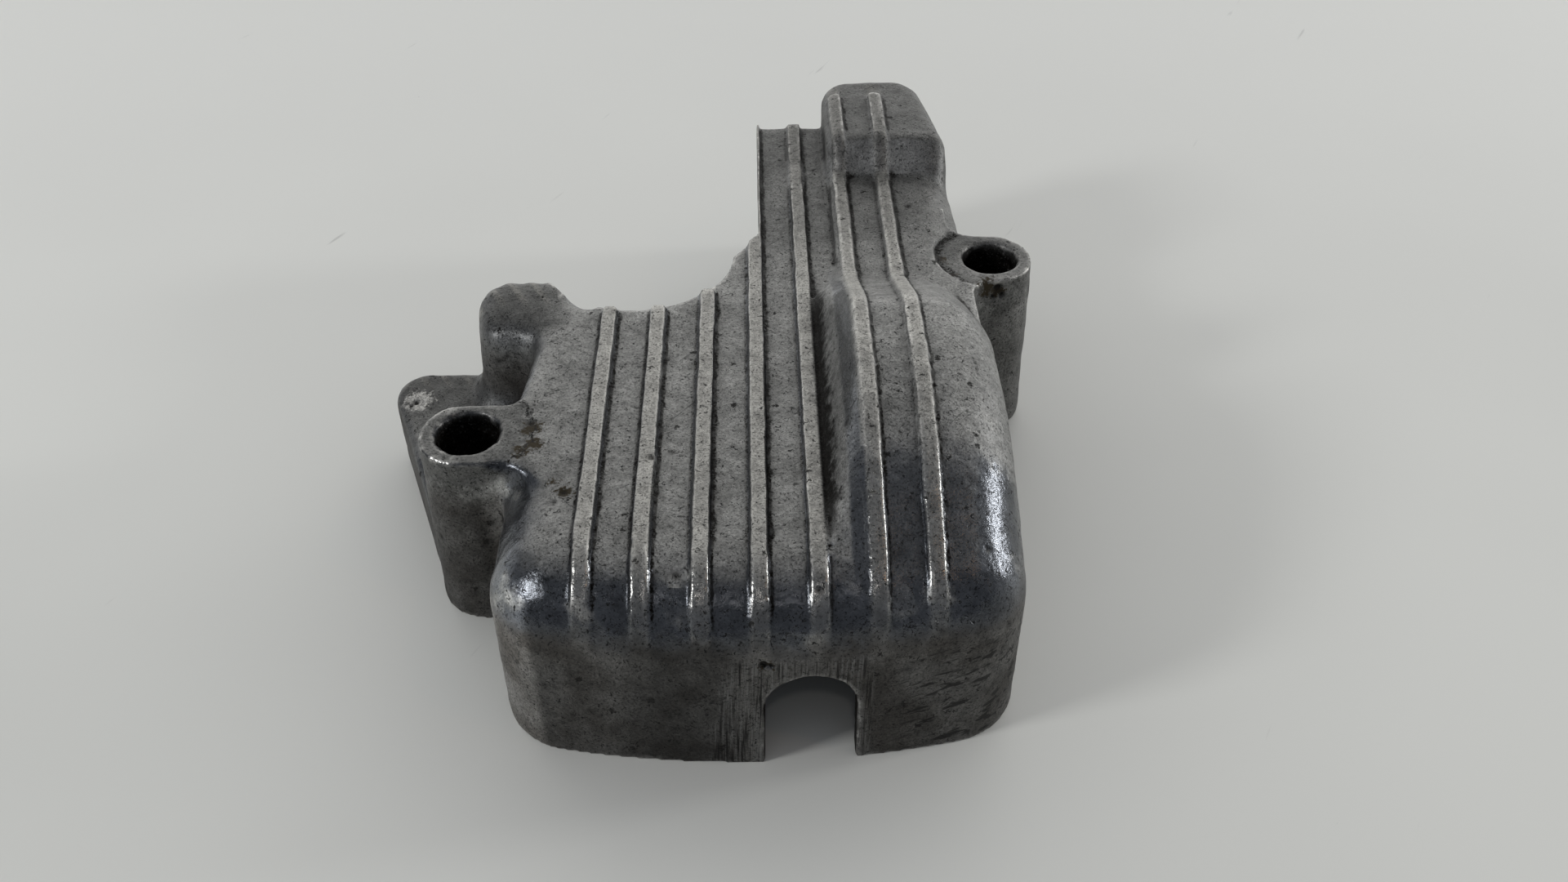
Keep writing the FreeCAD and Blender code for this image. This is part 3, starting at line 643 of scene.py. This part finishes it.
def paint(tree, skin, finish):
    """The colour: metal and the painted dark reflection of the rounds, then rubbed parts, film, painted shade and
    light by place, marks, and last stains, oil with painted shade, and painted light on the riser.
    """
    x, y, z, up = skin.x, skin.y, skin.z, skin.up
    # Painted reflection: the smooth rounds turn dark blue-grey
    colour = blend_colour(tree, times(tree, skin.polish, 0.85), finish.metal, finish.polished)
    for centre in (LEFT_HOLE, RIGHT_HOLE):
        away = calc(tree, "ADD", distance(tree, skin.at, (*centre, PAD_HEIGHT)), skin.ragged)
        colour = shade(tree, colour, window(tree, away, 6.5, 8.0, 0.62, 1.0))

    wave = calc(tree, "ADD", times(tree, x, RIDGE_TURN[0]), times(tree, y, RIDGE_TURN[1]))
    wave = calc(tree, "COSINE", times(tree, wave, 2 * math.pi / RIDGE_PITCH))
    stripes = times(tree, window(tree, wave, 0.1, 0.9), window(tree, y, 24.0, 26.5), window(tree, x, 8.0, 5.5))
    colour = blend_colour(tree, times(tree, stripes, 0.85), colour, finish.rubbed)
    rib_top = times(tree, skin.rib, window(tree, up, 0.30, 0.95, 0.15, 0.78))
    colour = blend_colour(tree, rib_top, colour, finish.rubbed)
    film = times(tree, skin.low_wall, window(tree, skin.slow, 0.30, 0.62, 0.98, 0.60))
    colour = blend_colour(tree, film, colour, finish.wall_film)
    dark_front = times(tree, span(tree, x, (15.0, 22.0), (31.0, 28.0)), skin.low_wall)
    colour = dimmed(tree, colour, dark_front, 0.45)

    # Unevenness, from slow clouds to the grain of the skin
    colour = shade(tree, colour, window(tree, skin.slow, 0.25, 0.75, 0.86, 1.14))
    colour = shade(tree, colour, window(tree, skin.medium, 0.25, 0.75, 0.80, 1.22))
    colour = shade(tree, colour, mix(tree, skin.polish, window(tree, skin.fine, 0.25, 0.75, 0.56, 1.52),
                                     window(tree, skin.fine, 0.25, 0.75, 0.85, 1.15)))

    # Painted shade and light by place: painted shade in the wide hollows and low down, a painted highlight on the
    # left boss's side, painted shade on the arm and the raised end, and the left edge and the shoulder's top
    # darker
    # Painted shade in the wide hollows
    colour = dimmed(tree, colour, skin.deep, 0.30)
    # Painted shade low down
    colour = shade(tree, colour, window(tree, z, 9.0, 22.0, 0.72, 1.0))
    # Painted highlight on the right of the left boss's column
    boss_side_highlight = times(tree, span(tree, x, (1.0, 3.5), (9.5, 8.0)), window(tree, y, 0.0, -3.0),
                      window(tree, z, 22.6, 20.5))
    colour = brightened(tree, colour, boss_side_highlight, 1.6)
    # Painted shade on the arm and the raised end
    colour = shade(tree, colour, window(tree, y, 28.0, 42.0, 1.0, 0.66))
    colour = shade(tree, colour, window(tree, y, 55.0, 60.0, 1.0, 0.68))
    colour = shade(tree, colour, window(tree, x, 14.0, 10.0, 1.0, 0.90))
    shoulder_top = times(tree, window(tree, x, 11.0, 6.0), window(tree, y, 18.0, 22.0), window(tree, up, 0.3, 0.8))
    colour = dimmed(tree, colour, shoulder_top, 0.50)

    # Bare worn edges with a painted glint, file strokes, flecks and cuts
    # Sharp edges: bare worn metal and a painted highlight
    skin.edge = times(tree, skin.rim, window(tree, skin.medium, 0.30, 0.60, 0.80, 0.15))
    colour = blend_colour(tree, skin.edge, colour, finish.bright)
    bright_strokes = times(tree, skin.filed, window(tree, skin.strokes, 0.46, 0.68), 0.55)
    colour = blend_colour(tree, bright_strokes, colour, finish.metal)
    dark_strokes = times(tree, skin.filed, window(tree, skin.strokes, 0.46, 0.34), 0.85)
    marks = larger(tree, times(tree, skin.fine_flecks, 0.70), times(tree, skin.small_flecks, 0.92),
                   times(tree, skin.patches, 0.22), times(tree, skin.wall_cuts, 0.8),
                   times(tree, skin.top_cuts, 0.5), dark_strokes)
    colour = dimmed(tree, colour, marks, 1.0)
    scrape = times(tree, window(tree, distance(tree, skin.moved, EAR_SCRAPE), 2.3, 1.3),
                   window(tree, skin.fine, 0.42, 0.58, 0.25, 0.75))
    colour = blend_colour(tree, scrape, colour, finish.bright)
    colour = blend_colour(tree, skin.stains, colour, finish.stain)
    # Oil in pits, dents and joints, with painted shade in corners, the valley, the bores and the underside
    colour = blend_colour(tree, skin.oil_and_shade, colour, finish.oil_and_shade)
    # Painted light: the riser's colour is lightened
    return brightened(tree, colour, skin.riser, 0.7)


def cast_metal(finish, flecks, scratches):
    """Used cast aluminium: grainy on the flats, smooth on the rounds with a painted dark reflection, rubbed on the
    ribs, dark in corners with oil and painted shade.
    """
    material = bpy.data.materials.new("cast_aluminium_worn")
    material.use_nodes = True
    tree = material.node_tree
    shader = tree.nodes["Principled BSDF"]
    skin = read_skin(tree, flecks, scratches)
    find_walls(tree, skin)
    find_polish(tree, skin)
    find_oil_and_shade(tree, skin)
    tree.links.new(paint(tree, skin, finish), shader.inputs["Base Color"])

    dull = larger(tree, skin.stains, times(tree, skin.riser, 0.6), times(tree, skin.low_wall, 0.55),
                  times(tree, skin.small_flecks, 0.7))
    tree.links.new(window(tree, dull, 0.0, 1.0, 0.92, 0.08), shader.inputs["Metallic"])
    rough = mix(tree, larger(tree, skin.polish, skin.edge), window(tree, skin.fine, 0.30, 0.72, 0.44, 0.58),
                window(tree, skin.fine, 0.30, 0.75, 0.16, 0.25))
    rough = mix(tree, larger(tree, dull, skin.oil_and_shade), rough, 0.72)
    tree.links.new(rough, shader.inputs["Roughness"])
    shader.inputs["Specular IOR Level"].default_value = 0.3

    height = times(tree, skin.fine, window(tree, skin.polish, 0.0, 1.0, 0.06, 0.02))
    height = calc(tree, "ADD", height, times(tree, skin.medium, 0.10))
    for cut, depth in ((skin.small_flecks, 0.05), (skin.pits, 0.12), (skin.wall_cuts, 0.06)):
        height = calc(tree, "SUBTRACT", height, times(tree, cut, depth))
    height = calc(tree, "ADD", height, times(tree, skin.filed, skin.strokes, 0.45))
    relief = place(tree, "ShaderNodeBump", {"Strength": 1.0, "Distance": MM, "Height": height}).outputs[0]
    tree.links.new(relief, shader.inputs["Normal"])
    return material


def table_top(stage, flecks, scratches):
    """A pale table with a soft gloss, a few hair scratches and specks of dust."""
    material = bpy.data.materials.new("pale_table")
    material.use_nodes = True
    tree = material.node_tree
    shader = tree.nodes["Principled BSDF"]
    at = shade(tree, place(tree, "ShaderNodeTexCoord").outputs["Object"], 1 / MM)
    hairs = use_group(tree, scratches, Vector=at, Angle=0.5, Scale=0.30, Stretch=0.10, Cover=-0.10)["Mask"]
    dust = use_group(tree, flecks, Vector=at, Scale=0.5, Cover=-0.16, Softness=0.01)["Mask"]
    slow = noise(tree, at, 0.012, 2.0).outputs[0]
    colour = shade(tree, tuple(stage.floor_colour), window(tree, slow, 0.3, 0.7, 0.97, 1.03))
    colour = dimmed(tree, colour, larger(tree, times(tree, hairs, 0.25), times(tree, dust, 0.5)), 1.0)
    tree.links.new(colour, shader.inputs["Base Color"])
    tree.links.new(window(tree, slow, 0.3, 0.7, 0.38, 0.46), shader.inputs["Roughness"])
    return material


class COVER_OT_casting(bpy.types.Operator):
    """Soften the solid casting's edges, give its skin the waves and dents of a used casting and finish it"""
    bl_idname = "cover.casting"
    bl_label = "Finish the casting"

    def execute(self, context):
        shape = context.scene.casting_shape
        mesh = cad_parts["pump_cover"].data.copy()
        mesh.name = "cover_casting"
        casting = bpy.data.objects.new("cover_casting", mesh)
        context.scene.collection.objects.link(casting)
        make_active(casting)
        bpy.ops.object.mode_set(mode="EDIT")
        bpy.ops.mesh.select_all(action="SELECT")
        bpy.ops.mesh.remove_doubles(threshold=0.000001)
        bpy.ops.object.mode_set(mode="OBJECT")
        grain = shape.grain * 1.0
        apply_modifier(casting, "skin", "REMESH", mode="VOXEL", voxel_size=grain, adaptivity=0.0)
        apply_modifier(casting, "soften", "SMOOTH", factor=0.5, iterations=3)

        # The foot stays flat, and the bores get a rougher skin
        x, y, z = points_of(casting.data).T
        skin = add_group(casting, "skin", smooth_step(z, 0.3, 1.2))
        to_hole = np.minimum(np.hypot(x - LEFT_HOLE[0], y - LEFT_HOLE[1]),
                             np.hypot(x - RIGHT_HOLE[0], y - RIGHT_HOLE[1]))
        in_bore = (to_hole < BORE_REACH) & (z > 1.0)
        bore_share = in_bore * inside_span(z, (1.0, 3.0), (24.4, 22.6))
        bore = add_group(casting, "bore", bore_share)
        soften_blends(casting.data)

        # Slow waves, wandering edges and rough bores
        waves = clouds("slow_waves", 0.0065)
        drift = clouds("edge_drift", 0.0035, cloud_type="COLOR")
        crumbs = clouds("bore_crumbs", 0.0009, noise_depth=3)
        apply_modifier(casting, "waves", "DISPLACE", texture=waves, strength=shape.waviness, vertex_group=skin)
        apply_modifier(casting, "drift", "DISPLACE", texture=drift, strength=shape.wander,
                       direction="RGB_TO_XYZ", vertex_group=skin)
        apply_modifier(casting, "crumbs", "DISPLACE", texture=crumbs, strength=shape.bore_roughness,
                       vertex_group=bore)

        mesh = casting.data
        points, normals = points_of(mesh), normals_of(mesh)
        points, dark = press_dents(points, normals, all_dents(points, normals, shape.small_dents))
        put_points(mesh, raise_burr_and_ridges(points, normals))
        # The groups go first, because the mark of the bores takes the name of one
        casting.vertex_groups.clear()
        write_marks(mesh, dark, bore_share)
        # The remeshed skin has four-sided faces, each of which counts as two triangles
        share = shape.face_share / (2.0 * len(mesh.polygons))
        apply_modifier(casting, "thin", "DECIMATE", ratio=min(1.0, share))
        mark_inside(casting)
        make_active(casting)
        bpy.ops.object.shade_smooth()

        casting.data.materials.clear()
        casting.data.materials.append(cast_metal(context.scene.casting_finish, fleck_group(), scratch_group()))
        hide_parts("pump_cover")
        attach(casting, "root")
        return {"FINISHED"}


def area_lamp(scene, name, direction, away, size, colour, power):
    """A soft lamp that looks at the part from a direction, given as azimuth from the rear and elevation."""
    azimuth, elevation = (math.radians(angle) for angle in direction)
    toward = Vector((math.sin(azimuth) * math.cos(elevation), math.cos(azimuth) * math.cos(elevation),
                     math.sin(elevation)))
    lamp = bpy.data.lights.new(name, "AREA")
    lamp.energy = power
    lamp.shape = "RECTANGLE"
    lamp.size, lamp.size_y = size
    lamp.color = colour
    holder = bpy.data.objects.new(name, lamp)
    holder.location = Vector(LAMP_TARGET) + away * toward
    holder.rotation_euler = toward.to_track_quat("Z", "Y").to_euler()
    scene.collection.objects.link(holder)


def light_room(scene, brightness):
    """A room that is bright behind the part, most of all low down, and dimmer above and in front."""
    world = bpy.data.worlds.new("room")
    scene.world = world
    world.use_nodes = True
    tree = world.node_tree
    toward = place(tree, "ShaderNodeTexCoord").outputs["Generated"]
    side, rear, up = place(tree, "ShaderNodeSeparateXYZ", {0: toward}).outputs
    glow = window(tree, calc(tree, "ADD", rear, times(tree, side, 0.30)), -0.30, 0.75)
    glow = times(tree, glow, window(tree, up, 0.97, 0.70))
    low_rear = times(tree, window(tree, up, 0.60, 0.35), window(tree, rear, 0.45, 0.85))
    colour = brightened(tree, blend_colour(tree, glow, ROOM_FRONT, ROOM_REAR), low_rear, 1.0)
    tree.links.new(colour, tree.nodes["Background"].inputs["Color"])
    tree.nodes["Background"].inputs["Strength"].default_value = brightness


class COVER_OT_stage(bpy.types.Operator):
    """Set the pale table, the soft lamps and the camera"""
    bl_idname = "cover.stage"
    bl_label = "Set the stage"

    def execute(self, context):
        scene = context.scene
        stage = scene.studio_stage
        deselect_all()
        bpy.ops.mesh.primitive_plane_add(size=TABLE_SIZE, location=(0, 0, 0))
        table = context.object
        table.name = "table"
        groups = bpy.data.node_groups
        table.data.materials.append(table_top(stage, groups["flecks"], groups["scratches"]))

        light_room(scene, stage.sky)
        for lamp, power in zip(LAMPS, (stage.key, stage.left, stage.right, stage.warm)):
            area_lamp(scene, *lamp, power)

        lens = bpy.data.cameras.new("photo_view")
        lens.sensor_width = SENSOR
        lens.lens = LENS
        lens.clip_start = CLIP_START
        camera = bpy.data.objects.new("photo_view", lens)
        turned = Matrix.Identity(4)
        for angle, axis in CAMERA_TURNS:
            turned = turned @ Matrix.Rotation(math.radians(angle), 4, axis)
        camera.matrix_world = Matrix.Translation(CAMERA_PLACE) @ turned
        scene.collection.objects.link(camera)
        scene.camera = camera
        scene.view_settings.view_transform = "Standard"
        return {"FINISHED"}


class COVER_PT_panel(bpy.types.Panel):
    """Lists the cover's sizes and steps in the sidebar"""
    bl_idname = "COVER_PT_panel"
    bl_label = "Oil pump cover"
    bl_space_type = "VIEW_3D"
    bl_region_type = "UI"
    bl_category = "Pump cover"

    def draw(self, context):
        scene = context.scene
        for group in (scene.casting_shape, scene.casting_finish, scene.studio_stage):
            for name in group.__annotations__:
                self.layout.prop(group, name)
        self.layout.operator("cover.casting")
        self.layout.operator("cover.stage")


CLASSES = (CastingShape, CastingFinish, StudioStage, COVER_OT_casting, COVER_OT_stage, COVER_PT_panel)


def register():
    for kind in CLASSES:
        bpy.utils.register_class(kind)
    bpy.types.Scene.casting_shape = PointerProperty(type=CastingShape)
    bpy.types.Scene.casting_finish = PointerProperty(type=CastingFinish)
    bpy.types.Scene.studio_stage = PointerProperty(type=StudioStage)


def unregister():
    del bpy.types.Scene.studio_stage
    del bpy.types.Scene.casting_finish
    del bpy.types.Scene.casting_shape
    for kind in reversed(CLASSES):
        bpy.utils.unregister_class(kind)


def main():
    register()
    bpy.ops.cover.casting()
    bpy.ops.cover.stage()


if __name__ == "__main__":
    main()
